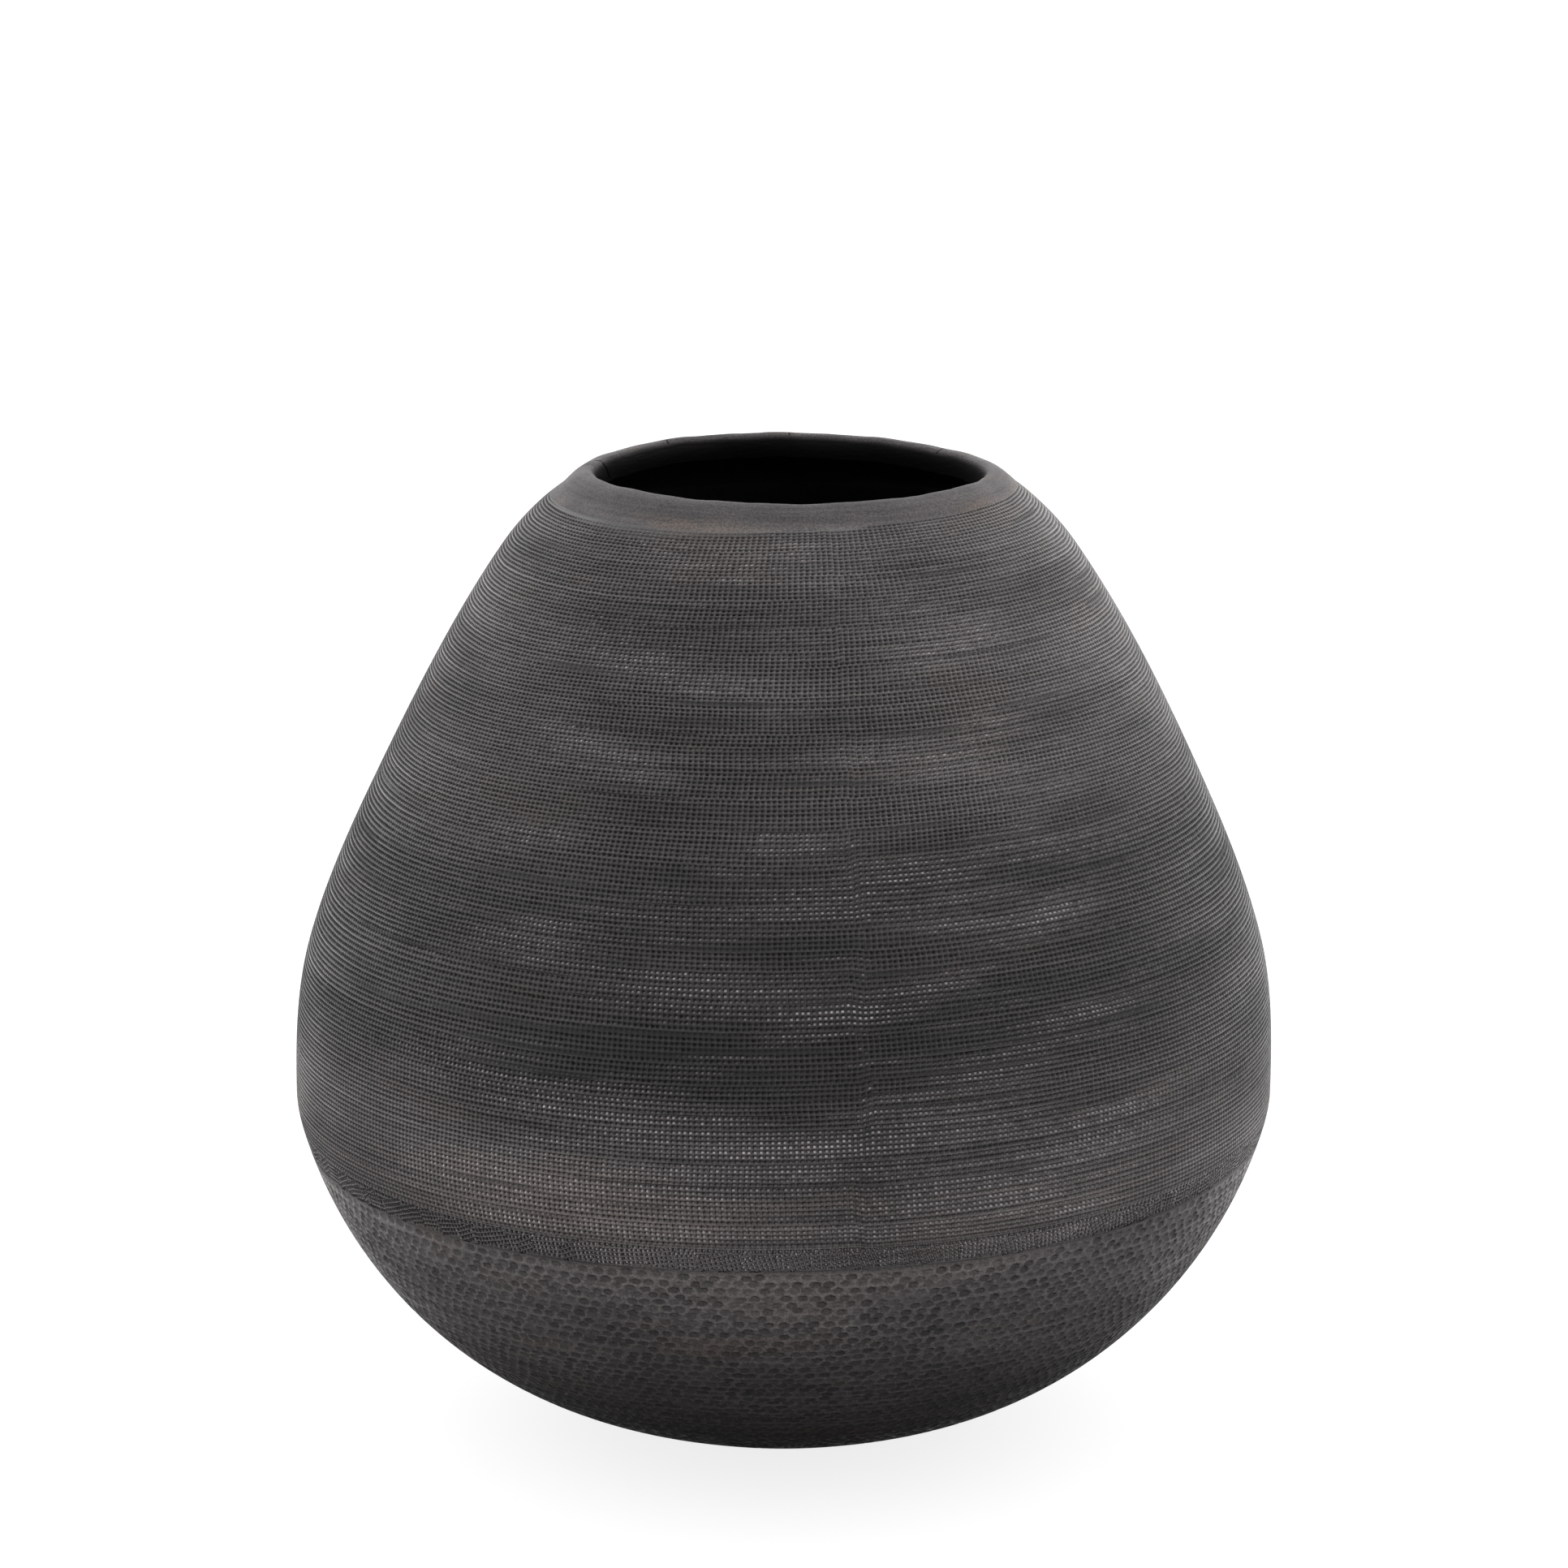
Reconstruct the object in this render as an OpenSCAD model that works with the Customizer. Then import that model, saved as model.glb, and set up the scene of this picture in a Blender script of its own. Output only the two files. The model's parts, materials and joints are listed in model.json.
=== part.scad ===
// Hand-built burnished black clay pot with a wide belly and a round open mouth.
// It is made of clay sections joined edge to edge on bevelled laps, from the base pad up to the lip.
// Z is up, and the origin is the centre of the flat underside.

/* [Base] */
// Radius of the flat that the pot rests on
rest_r = 40; // [34:1:48]
// Radius of the base pad where the bowl is joined on
pad_r = 78; // [72:1:84]
// Height of the base pad's edge
pad_z = 11; // [9:0.5:13]

/* [Bowl and belly] */
// Radius of the bowl's top edge, just under the belly
bowl_r = 157; // [154:0.5:158]
// Height of the bowl's top edge
bowl_z = 97; // [90:1:102]
// Greatest radius of the pot
belly_r = 160; // [159:0.5:164]
// Height of the greatest radius
belly_z = 112; // [108:1:118]
// Radius of the belly course's top edge
turn_r = 155; // [152:0.5:157]
// Height of the belly course's top edge
turn_z = 162; // [156:1:168]

/* [Flanks] */
// Radius of the joint halfway up the flank
flank_r = 132.3; // [129:0.1:135]
// Height of the joint halfway up the flank
flank_z = 218; // [212:1:224]
// Radius of the flank's top edge
shoulder_r = 92.3; // [89:0.1:95]
// Height of the flank's top edge
shoulder_z = 290; // [284:1:293]

/* [Mouth] */
// Radius where the smooth rolled lip begins
lip_foot_r = 75; // [73:0.5:77]
// Height where the smooth rolled lip begins
lip_foot_z = 308.5; // [306:0.5:310]
// Radius of the lip's crest
crest_r = 65; // [64:0.5:67]
// Overall height of the pot
pot_h = 315.5; // [313:0.5:318]
// Radius of the straight land inside the mouth
mouth_r = 62.3; // [60:0.1:63]
// Height of the straight land inside the mouth
mouth_land = 5; // [3:0.5:6]

/* [Wall] */
// Thickness of the clay wall and floor
wall_t = 7.5; // [6:0.5:9]
// How far each joint's bevel runs down the inside, in steps along the wall
bevel_steps = 2; // [1:1:3]

/* [Hidden] */

$fn = 180;
curve_steps = 16;
lip_steps = 6;
clay_dark = [0.16, 0.155, 0.155];
clay_mid = [0.24, 0.235, 0.23];
clay_light = [0.33, 0.32, 0.31];

// The wall's lean at each ring, in degrees, going up the outside and over the lip:
// 0 runs straight out from the axis, 90 straight up, 180 straight in and 270 straight down.
rest_lean = 3;
pad_lean = 21.5;
bowl_lean = 72.5;
belly_lean = 90;
turn_lean = 106;
flank_lean = 115.5;
shoulder_lean = 124.8;
lip_foot_lean = 142;
crest_lean = 180;
land_lean = 270;

// Below this change of lean, a curve between two rings is taken as straight
least_turn = 0.1;

// The rings that the outside passes through: radius, height and lean
RINGS = [
    [rest_r, 0, rest_lean],
    [pad_r, pad_z, pad_lean],
    [bowl_r, bowl_z, bowl_lean],
    [belly_r, belly_z, belly_lean],
    [turn_r, turn_z, turn_lean],
    [flank_r, flank_z, flank_lean],
    [shoulder_r, shoulder_z, shoulder_lean],
    [lip_foot_r, lip_foot_z, lip_foot_lean],
];

// Which ring each clay section starts from
PAD_RING = 0;
BOWL_RING = 1;
BELLY_RING = 2;
TURN_RING = 4;
FLANK_RING = 5;
SHOULDER_RING = 6;
LIP_RING = 7;

// Handle length that makes a cubic curve follow a circular arc between two leans
function handle(chord, turn) =
    turn < least_turn ? chord / 3 : chord * 2 / 3 * tan(turn / 4) / sin(turn / 2);

function along(lean) = [cos(lean), sin(lean)];

// A point of the cubic curve with the four control points c, and its direction of travel
function curve_at(c, t) =
    pow(1 - t, 3) * c[0] + 3 * t * pow(1 - t, 2) * c[1] + 3 * t * t * (1 - t) * c[2] + pow(t, 3) * c[3];
function curve_way(c, t) =
    pow(1 - t, 2) * (c[1] - c[0]) + 2 * t * (1 - t) * (c[2] - c[1]) + t * t * (c[3] - c[2]);

// The four control points of the curve from ring a to ring b
function control(a, b) =
    let (from = [a[0], a[1]], to = [b[0], b[1]], h = handle(norm(to - from), abs(b[2] - a[2])))
    [from, from + h * along(a[2]), to - h * along(b[2]), to];

// A point moved into the wall, square to the direction w
function inset(p, w, depth) = p + depth * [-w[1], w[0]] / norm(w);

function ring_curve(i, t, depth) =
    let (c = control(RINGS[i], RINGS[i + 1])) inset(curve_at(c, t), curve_way(c, t), depth);

// Points of the outside and the inside of the wall, counted in steps from the rest ring
function wall_point(step, depth) =
    let (last = len(RINGS) - 2, i = min(floor(step / curve_steps), last))
    ring_curve(i, step / curve_steps - i, depth);
function run(first, last, depth) = [for (s = [first:last]) wall_point(s, depth)];
function backwards(points) = [for (i = [len(points) - 1:-1:0]) points[i]];

// One turned clay section between two rings, bevelled so that its lower edge laps inside its neighbour
module course(from_ring, to_ring) {
    first = from_ring * curve_steps;
    last = to_ring * curve_steps;
    rotate_extrude()
        polygon(concat(
            run(first, last, 0),
            backwards(run(first - bevel_steps, last - bevel_steps, wall_t))
        ));
}

module base_pad() {
    last = BOWL_RING * curve_steps;
    color(clay_dark)
        rotate_extrude()
            polygon(concat(
                [[0, 0]],
                run(PAD_RING * curve_steps, last, 0),
                backwards(run(PAD_RING * curve_steps, last - bevel_steps, wall_t)),
                [[0, wall_t]]
            ));
}

module lower_bowl() {
    color(clay_dark) course(BOWL_RING, BELLY_RING);
}

module belly_course() {
    color(clay_mid) course(BELLY_RING, TURN_RING);
}

module lower_flank_course() {
    color(clay_mid) course(TURN_RING, FLANK_RING);
}

module upper_flank_course() {
    color(clay_mid) course(FLANK_RING, SHOULDER_RING);
}

module shoulder_course() {
    color(clay_light) course(SHOULDER_RING, LIP_RING);
}

// The last coil, rolled over the shoulder, wiped smooth outside and straight inside the mouth
module lip_coil() {
    last = LIP_RING * curve_steps;
    foot = RINGS[LIP_RING];
    crest = [crest_r, pot_h, crest_lean];
    rolled = control(foot, crest);
    land_top = [mouth_r, pot_h - (crest_r - mouth_r), land_lean];
    turned = control(crest, land_top);
    color(clay_light)
        rotate_extrude()
            polygon(concat(
                [for (i = [0:lip_steps]) curve_at(rolled, i / lip_steps)],
                [for (i = [1:lip_steps]) curve_at(turned, i / lip_steps)],
                [[mouth_r, land_top[1] - mouth_land]],
                [wall_point(last - bevel_steps, wall_t)]
            ));
}

base_pad();
lower_bowl();
belly_course();
lower_flank_course();
upper_flank_course();
shoulder_course();
lip_coil();
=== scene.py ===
import functools
import json
import math

import bpy
import numpy as np
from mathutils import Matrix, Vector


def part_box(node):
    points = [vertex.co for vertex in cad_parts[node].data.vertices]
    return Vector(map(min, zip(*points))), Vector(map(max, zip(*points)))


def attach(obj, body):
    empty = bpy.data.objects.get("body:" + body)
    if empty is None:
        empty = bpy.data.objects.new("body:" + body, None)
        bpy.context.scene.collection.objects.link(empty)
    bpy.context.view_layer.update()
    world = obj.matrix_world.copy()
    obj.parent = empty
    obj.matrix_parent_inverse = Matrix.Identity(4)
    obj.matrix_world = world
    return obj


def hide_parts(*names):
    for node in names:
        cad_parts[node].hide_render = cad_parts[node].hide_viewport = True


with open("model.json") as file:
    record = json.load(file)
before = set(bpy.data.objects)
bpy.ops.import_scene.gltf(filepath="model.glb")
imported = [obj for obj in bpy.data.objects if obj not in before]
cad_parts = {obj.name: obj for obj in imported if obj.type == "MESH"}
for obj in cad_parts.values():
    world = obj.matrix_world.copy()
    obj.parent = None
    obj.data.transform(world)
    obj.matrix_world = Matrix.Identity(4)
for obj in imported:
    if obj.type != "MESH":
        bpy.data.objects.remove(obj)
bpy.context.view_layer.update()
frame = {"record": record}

# Lengths are millimetres here, unless a name says otherwise, and become metres as each mesh is written.
# An angle around the pot is 0 at the front, towards -Y, and grows to the right, towards +X.
MM = 0.001
TURN = 2 * math.pi


# -------- the pot's outline, from the frame


def reach(node):
    """How far a node stands out from the axis."""
    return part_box(node)[1][0] / MM


def top(node):
    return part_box(node)[1][2] / MM


def bottom(node):
    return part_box(node)[0][2] / MM


def mount(name):
    return next(m for m in frame["record"]["mounts"] if m["name"] == name)


POT_H = top("lip_coil")
MOUTH_R = mount("mouth")["dims"]["r_mm"]
MOUTH_LAND = mount("mouth")["dims"]["length_mm"]
REST_R = 40.0
BELLY_Z = 112.0
CREST_R = 65.0
WALL_T = 7.5
LAP = 9.0  # how far a joint's bevel runs down the inside of the wall
LEAST_TURN = 0.01  # in radians: below this change of lean, a curve is taken as straight

# Rings that the outside passes through: radius, height and lean, where 90 degrees is straight up and
# 180 straight in. The last two carry it over the lip.
RINGS = {
    "rest": (REST_R, 0.0, 3.0),
    "pad": (reach("base_pad"), bottom("lower_bowl"), 21.5),
    "bowl": (reach("lower_bowl"), top("lower_bowl"), 72.5),
    "belly": (reach("belly_course"), BELLY_Z, 90.0),
    "turn": (reach("lower_flank_course"), top("belly_course"), 106.0),
    "flank": (reach("upper_flank_course"), top("lower_flank_course"), 115.5),
    "shoulder": (reach("shoulder_course"), top("upper_flank_course"), 124.8),
    "lip_foot": (reach("lip_coil"), top("shoulder_course"), 142.0),
    "crest": (CREST_R, POT_H, 180.0),
    "land": (MOUTH_R, POT_H - (CREST_R - MOUTH_R), 270.0),
    "land_end": (MOUTH_R, POT_H - (CREST_R - MOUTH_R) - MOUTH_LAND, 270.0),
}


class Outline:
    """The outside of the wall as radius and height against the distance run from the rest ring."""

    STEPS = 240

    def __init__(self, rings):
        points, self.start = [], {}
        names = list(rings)
        for a, b in zip(names, names[1:]):
            points.append(self.curve(rings[a], rings[b])[: None if b == names[-1] else -1])
        self.points = np.vstack(points)
        steps = np.hypot(*np.diff(self.points, axis=0).T)
        self.run = np.concatenate([[0.0], np.cumsum(steps)])
        for i, name in enumerate(names):
            self.start[name] = self.run[min(i * self.STEPS, len(self.run) - 1)]
        way = np.gradient(self.points, self.run, axis=0)
        self.out = np.stack([way[:, 1], -way[:, 0]], 1) / np.hypot(*way.T)[:, None]

    def curve(self, a, b):
        """A cubic between two rings that stays close to a circular arc."""
        lean_a, lean_b = math.radians(a[2]), math.radians(b[2])
        p0, p3 = np.array(a[:2]), np.array(b[:2])
        chord, turn = math.dist(p0, p3), abs(lean_b - lean_a)
        handle = chord / 3
        if turn >= LEAST_TURN:
            handle = chord * 2 / 3 * math.tan(turn / 4) / math.sin(turn / 2)
        p1 = p0 + handle * np.array([math.cos(lean_a), math.sin(lean_a)])
        p2 = p3 - handle * np.array([math.cos(lean_b), math.sin(lean_b)])
        t = np.linspace(0, 1, self.STEPS + 1)[:, None]
        return (1 - t) ** 3 * p0 + 3 * t * (1 - t) ** 2 * p1 + 3 * t * t * (1 - t) * p2 + t**3 * p3

    def at(self, s, depth=0.0):
        """Radius and height at the distance s, moved into the clay by depth."""
        r, z = (np.interp(s, self.run, self.points[:, i]) for i in (0, 1))
        out_r, out_z = (np.interp(s, self.run, self.out[:, i]) for i in (0, 1))
        return r - depth * out_r, z - depth * out_z


OUTLINE = Outline(RINGS)
S = OUTLINE.start

# -------- hand-made unevenness

TILT = 2.4  # the tooled rows climb to the right by this much each way
# Longer waves of the rows: height, how many go round the pot, and the rise in which they turn a radian
LONG_WAVES = ((0.35, 2, 60), (0.2, 5, -35))
FOOT_OFF, MOUTH_OFF = -0.25, 2.0  # the foot and the mouth stand off the axis, so the pot leans right
LEAN_Z = (110, 270)  # the heights between which it leans
OVAL, OVAL_PHASE, OVAL_TWIST = 0.35, 0.9, 130  # how far the pot is out of round, and how that turns going up
LOBES, LOBES_TWIST = 0.22, 47  # the same for three low lobes over it
ROUND_FOOT_H = 30  # the unevenness grows from nothing at the foot to its full size at this height
NECK_Z, NECK_IN, NECK_H = 306, 0.55, 8  # under the lip the wall is wiped in a little, over this half height
# Small waves of the mouth's edge: height, how many go round, and phase
RIM_WAVES = ((0.12, 11, 1), (0.08, 23, 0))
# Dips in the mouth's edge: azimuth, half width and drop
RIM_DIPS = (
    (0, 40, 0.6), (-102, 26, 1.0), (112, 34, 1.3),
    (180, 50, -0.35), (150, 24, 0.3), (-152, 24, -0.2),
)
RIM_REACH = 6  # how far below the lip's foot the dips begin
WAVE_SIZE, FIELD_SIZE = 0.75, 1.5  # bring random waves and fields to about -1 to 1


def smooth(x, low, high):
    """0 below low, 1 above high, and a soft S between; high may be less than low."""
    t = np.clip((x - low) / (high - low), 0, 1)
    return t * t * (3 - 2 * t)


def bell(x, centre, half):
    """1 at the centre, falling to 0.37 at the half width."""
    return np.exp(-(((x - centre) / half) ** 2))


def off_azimuth(angle, azimuth):
    """How many degrees an angle is to the right of an azimuth, -180 to 180."""
    return (np.degrees(angle) - azimuth + 180) % 360 - 180


def wave(rng, angle, times, count=6):
    """A random smooth loop, about -1 to 1, of waves that go round the pot from times[0] to times[1] times."""
    total = np.zeros_like(angle)
    for k in rng.integers(times[0], times[1] + 1, count):
        total += math.sqrt(2 / count) * np.sin(k * angle + rng.uniform(0, TURN)) * WAVE_SIZE
    return total


class Field:
    """A random smooth pattern over the pot, mostly -1 to 1, made of level patches.

    Each wave has some length up the pot and goes a whole number of times round it, so that its
    patches are wider than they are tall: slope is the most that height may be of width."""

    def __init__(self, seed, lengths, slope, count=28):
        rng = np.random.default_rng(seed)
        self.waves = []
        for length in rng.uniform(*lengths, count):
            times = rng.integers(1, max(2, round(slope * TURN * RINGS["turn"][0] / length)) + 1)
            self.waves.append((times, TURN / length, *rng.uniform(0, TURN, 2)))

    def at(self, angle, s):
        total = sum(np.sin(k * angle + round_phase) * np.sin(m * s + up_phase)
                    for k, m, round_phase, up_phase in self.waves)
        return total * FIELD_SIZE / math.sqrt(len(self.waves))


SWAY, SWAY_SIZE = Field(15, (22, 80), 0.6), 0.13  # the rows' irregular waves
RIPPLE, RIPPLE_SIZE = Field(16, (4, 16), 0.5, 16), 0.05
SEAM = math.radians(8.6)  # where the wheel was started and stopped, all the way up
SEAM_W = 0.0075  # half width of the seam, as an angle
SEAM_SWAY, SEAM_SWAY_RISE = 0.009, 9  # how far it sways, as an angle, and the rise in which it turns a radian
SEAM_SLIP, SEAM_SLIP_RISE = 1.1, 11  # how far rows miss themselves when they come round to it
SLIP_START = 8  # the rise over which the slip grows above the border
SLIP_LOSS, SLIP_LOSS_RISE = 0.6, 40  # the share of it lost on the upper flank, and over which rise


def from_seam(angle, s):
    return (angle - SEAM + SEAM_SWAY * np.sin(s / SEAM_SWAY_RISE) + math.pi) % TURN - math.pi


def seam_slip(angle, s):
    """How far rows stand off level so that they miss themselves at the seam."""
    apart = from_seam(angle, s)
    slip = SEAM_SLIP * np.sin(s / SEAM_SLIP_RISE + 1) * (0.5 - (apart / TURN) % 1.0)
    slip = slip * (1 - bell(apart, 0, SEAM_W)) * smooth(s, S["bowl"], S["bowl"] + SLIP_START)
    return slip * (1 - SLIP_LOSS * smooth(s, S["flank"], S["flank"] + SLIP_LOSS_RISE))


def drift(angle, s):
    """How far the tooled rows run off level, fading out at the foot and over the lip."""
    hold = smooth(s, S["rest"], S["pad"]) * smooth(s, S["crest"], S["lip_foot"])
    level = TILT * np.sin(angle)
    for height, times, rise in LONG_WAVES:
        level = level + height * np.sin(times * angle + s / rise)
    uneven = SWAY_SIZE * SWAY.at(angle, s) + RIPPLE_SIZE * RIPPLE.at(angle, s)
    return hold * (level + uneven + seam_slip(angle, s))


def rim_drop(angle):
    """How far the mouth's edge dips below its full height."""
    total = 0.0
    for height, times, phase in RIM_WAVES:
        total = total + height * np.sin(times * angle + phase)
    for azimuth, half, drop in RIM_DIPS:
        total = total + drop * bell(off_azimuth(angle, azimuth), 0, half)
    return total


def place(angle, s, depth, along_rows=True):
    """Points in metres at an angle and a distance along the outline, pressed in by depth."""
    r, z = OUTLINE.at(s + drift(angle, s) if along_rows else s, depth)
    swell = OVAL * np.cos(2 * angle + OVAL_PHASE + z / OVAL_TWIST)
    swell = swell + LOBES * np.sin(3 * angle + z / LOBES_TWIST)
    swell = swell - NECK_IN * bell(z, NECK_Z, NECK_H)
    r = r + swell * smooth(z, 0, ROUND_FOOT_H)
    x = r * np.sin(angle) + FOOT_OFF + (MOUTH_OFF - FOOT_OFF) * smooth(z, *LEAN_Z)
    z = z - rim_drop(angle) * smooth(s, S["lip_foot"] - RIM_REACH, S["crest"])
    return np.stack([x, -r * np.cos(angle), z], -1) * MM


# -------- rings and pieces

# How much lighter or darker the clay is painted at each height from the foot up, in tone steps: smoke clouds
# from the firing, with painted shade at the foot and painted light over the lower bowl
SMOKE_AND_SHADE = (
    (0, -6.0), (35, -2.3), (60, 0.1), (90, 1.7), (120, 1.7),
    (158, -2.5), (208, -2.3), (250, 0.5), (300, 0.6), (316, 0.3),
)
# Single patches over it: azimuth, height, half width in degrees, half height, and steps
PATCHES = (
    (0, 166, 30, 13, -1.4),
    (30, 245, 13, 30, 1.5),
    (-24, 120, 18, 14, 1.3),
    (2, 82, 9, 10, 0.6),
    (-38, 250, 24, 38, -0.7),
    (-48, 86, 20, 14, -0.8),
    (46, 86, 18, 14, -0.7),
    (9, 128, 4, 26, -1.2),
    (-46, 190, 14, 16, -0.8),
    (26, 193, 12, 16, 0.7),
    (37, 134, 13, 9, -0.8),
    (-80, 165, 20, 55, 0.4),
)


def patched(patches, angle, z):
    """The sum of soft patches, each an azimuth, height, half width in degrees, half height and amount."""
    total = 0.0
    for azimuth, height, wide, tall, amount in patches:
        total = total + amount * bell(off_azimuth(angle, azimuth), 0, wide) * bell(z, height, tall)
    return total


def smoke_and_shade(angle, z):
    return np.interp(z, *zip(*SMOKE_AND_SHADE)) + patched(PATCHES, angle, z)


class Ring:
    """One closed row of points round the pot, with what its material reads there.

    Corner rings are sharp edges, and faces at an inner ring have the inside's clay. The diagonals of
    its quads meet on the points whose number and level add up to an even number."""

    def __init__(self, angle, points, pit=0.0, dot=0.0, tone=0.0, corner=False, inner=False, level=0):
        self.angle, self.points, self.corner, self.inner, self.level = angle, points, corner, inner, level
        tone = tone + smoke_and_shade(angle, points[:, 2] / MM)
        self.marks = [np.broadcast_to(np.asarray(m, float), angle.shape) for m in (pit, dot, tone)]


# pit holds painted shade in pits, grooves, cracks and going into the mouth, and faint dark joint lines; dot
# holds the painted highlight on each dot; tone holds smoke clouds and random tone, with painted shade and
# painted light
MARKS = ("pit", "dot", "tone")


def angles(count):
    return np.arange(count) * TURN / count


def across(ring, other):
    """For each edge of a ring, the point of the other ring that it makes a triangle with."""
    edges, others = (
        ((r.angle + np.append(r.angle[1:], r.angle[0] + TURN)) / 2 % TURN for r in (ring, other))
    )
    order = np.argsort(others)
    before = np.searchsorted(others[order], edges) - 1
    return (order[before] + 1) % len(others)


def bridge(a, b, first_a, first_b):
    """Faces between two rings: quads within a strip, and a zip of triangles where the counts change."""
    n, m = len(a.angle), len(b.angle)
    i, j = np.arange(n), np.arange(m)
    if n == m and abs(a.angle[0] - b.angle[0]) < TURN / n:
        quads = np.stack([i, (i + 1) % n, (i + 1) % n + n, i + n], 1)
        quads = np.where(quads < n, quads + first_a, quads - n + first_b)
        turned = (i + a.level) % 2 == 1
        return np.where(turned[:, None], np.roll(quads, -1, axis=1), quads), np.zeros((0, 3), int)
    lower = np.stack([i + first_a, (i + 1) % n + first_a, across(a, b) + first_b], 1)
    upper = np.stack([across(b, a) + first_a, (j + 1) % m + first_b, j + first_b], 1)
    return np.zeros((0, 4), int), np.vstack([lower, upper])


def fan(ring, first, tip, upward):
    """Triangles from a ring to a point on the axis."""
    i = np.arange(len(ring.angle))
    after = (i + 1) % len(i)
    pair = (i, after) if upward else (after, i)
    return np.stack([pair[0] + first, pair[1] + first, np.full(len(i), tip)], 1)


def make_mesh(name, points, quads, triangles, inner_faces):
    """A smooth-shaded mesh whose inner faces have the second material."""
    mesh = bpy.data.meshes.new(name)
    mesh.vertices.add(len(points))
    mesh.vertices.foreach_set("co", points.astype(np.float32).ravel())
    mesh.loops.add(quads.size + triangles.size)
    corners = np.concatenate([quads.ravel(), triangles.ravel()])
    mesh.loops.foreach_set("vertex_index", corners.astype(np.int32))
    mesh.polygons.add(len(quads) + len(triangles))
    starts = np.concatenate([np.arange(len(quads)) * 4, quads.size + np.arange(len(triangles)) * 3])
    mesh.polygons.foreach_set("loop_start", starts.astype(np.int32))
    mesh.polygons.foreach_set("use_smooth", np.ones(len(starts), bool))
    mesh.polygons.foreach_set("material_index", inner_faces.astype(np.int32))
    mesh.update(calc_edges=True)
    return mesh


def sharpen(mesh, corner):
    """Marks each edge along a corner ring as sharp; corner has the number of each point's ring, or 0."""
    ends = np.empty(len(mesh.edges) * 2, np.int32)
    mesh.edges.foreach_get("vertices", ends)
    a, b = corner[ends[::2]], corner[ends[1::2]]
    sharp = mesh.attributes.new("sharp_edge", "BOOLEAN", "EDGE")
    sharp.data.foreach_set("value", (a > 0) & (a == b))


def piece(name, node, material, rings, tips=None):
    """A closed mesh from rings in order round its section, or between two points on the axis."""
    firsts = np.concatenate([[0], np.cumsum([len(r.angle) for r in rings])]).astype(int)
    points = [r.points for r in rings]
    marks = [[r.marks[k] for r in rings] for k in range(len(MARKS))]
    quads, triangles, inner_quads, inner_triangles = [], [], [], []
    pairs = list(zip(range(len(rings)), range(1, len(rings))))
    if tips is None:
        pairs.append((len(rings) - 1, 0))
    for a, b in pairs:
        q, t = bridge(rings[a], rings[b], firsts[a], firsts[b])
        quads.append(q)
        triangles.append(t)
        inner = rings[a].inner or rings[b].inner
        inner_quads.append(np.full(len(q), inner))
        inner_triangles.append(np.full(len(t), inner))
    if tips is not None:
        points.append(np.array(tips) * MM)
        for rows in marks:
            rows.append(np.zeros(len(tips)))
        triangles.append(fan(rings[0], firsts[0], firsts[-1], upward=False))
        triangles.append(fan(rings[-1], firsts[-2], firsts[-1] + 1, upward=True))
        inner_triangles += [np.full(len(rings[0].angle), False), np.full(len(rings[-1].angle), True)]
    points, quads, triangles = np.vstack(points), np.vstack(quads), np.vstack(triangles)
    mesh = make_mesh(name, points, quads, triangles, np.concatenate(inner_quads + inner_triangles))

    corner = np.zeros(len(points), int)
    for k, ring in enumerate(rings):
        if ring.corner:
            corner[firsts[k] : firsts[k + 1]] = k + 1
    sharpen(mesh, corner)
    for mark, rows in zip(MARKS, marks):
        layer = mesh.attributes.new(mark, "FLOAT", "POINT")
        layer.data.foreach_set("value", np.concatenate(rows).astype(np.float32))

    made = bpy.data.objects.new(name, mesh)
    bpy.context.scene.collection.objects.link(made)
    mesh.materials.append(material)
    mesh.materials.append(INSIDE)
    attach(made, "root")
    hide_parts(node)
    return made


# -------- roulette-pressed rows

PIT_PITCH = 1.76  # from one tooth to the next
PIT_DEPTH = 0.72
# Where the mesh has its points within one tooth, as shares of the pitch, round the pot and up it
GRID = 4
GRID_ROUND = np.array([0.05, 0.27, 0.56, 0.86])
GRID_UP = np.array([0.14, 0.42, 0.69, 0.90])
# How deep one tooth presses at each of them, a row to each step up: a flat ridge on every side, a
# steep wall to the left and above, and a floor that rises to a dot at the lower right
TOOTH = np.array([
    [0.00, 0.00, 0.00, 0.00],
    [0.00, 0.90, 0.75, 0.30],
    [0.00, 1.00, 1.00, 0.35],
    [0.00, 0.05, 0.05, 0.00],
])
# Painted shade in the pit there: darkest at the left and under the upper edge, where its walls shade it
TOOTH_SHADE = np.array([
    [0.02, 0.40, 0.40, 0.15],
    [0.12, 1.00, 0.62, 0.60],
    [0.14, 1.00, 1.00, 0.55],
    [0.02, 0.25, 0.25, 0.12],
])
DOT_LEVEL, DOT_COLUMN = 1, 2  # where among them the dot is
PIT_LEVELS = (1, 2)  # the steps up that a pit's floor is at
TOOTH_SHIFT, TOOTH_UNEVEN = 0.05, 0.15  # how far single teeth stray, and their spread in depth as a share
TOOTH_HIGHLIGHT, TOOTH_SHADE_SPREAD = (0.3, 1.4), (0.9, 1.05)  # how much stronger the painted highlight of single teeth is, and how much darker their painted shade

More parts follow.
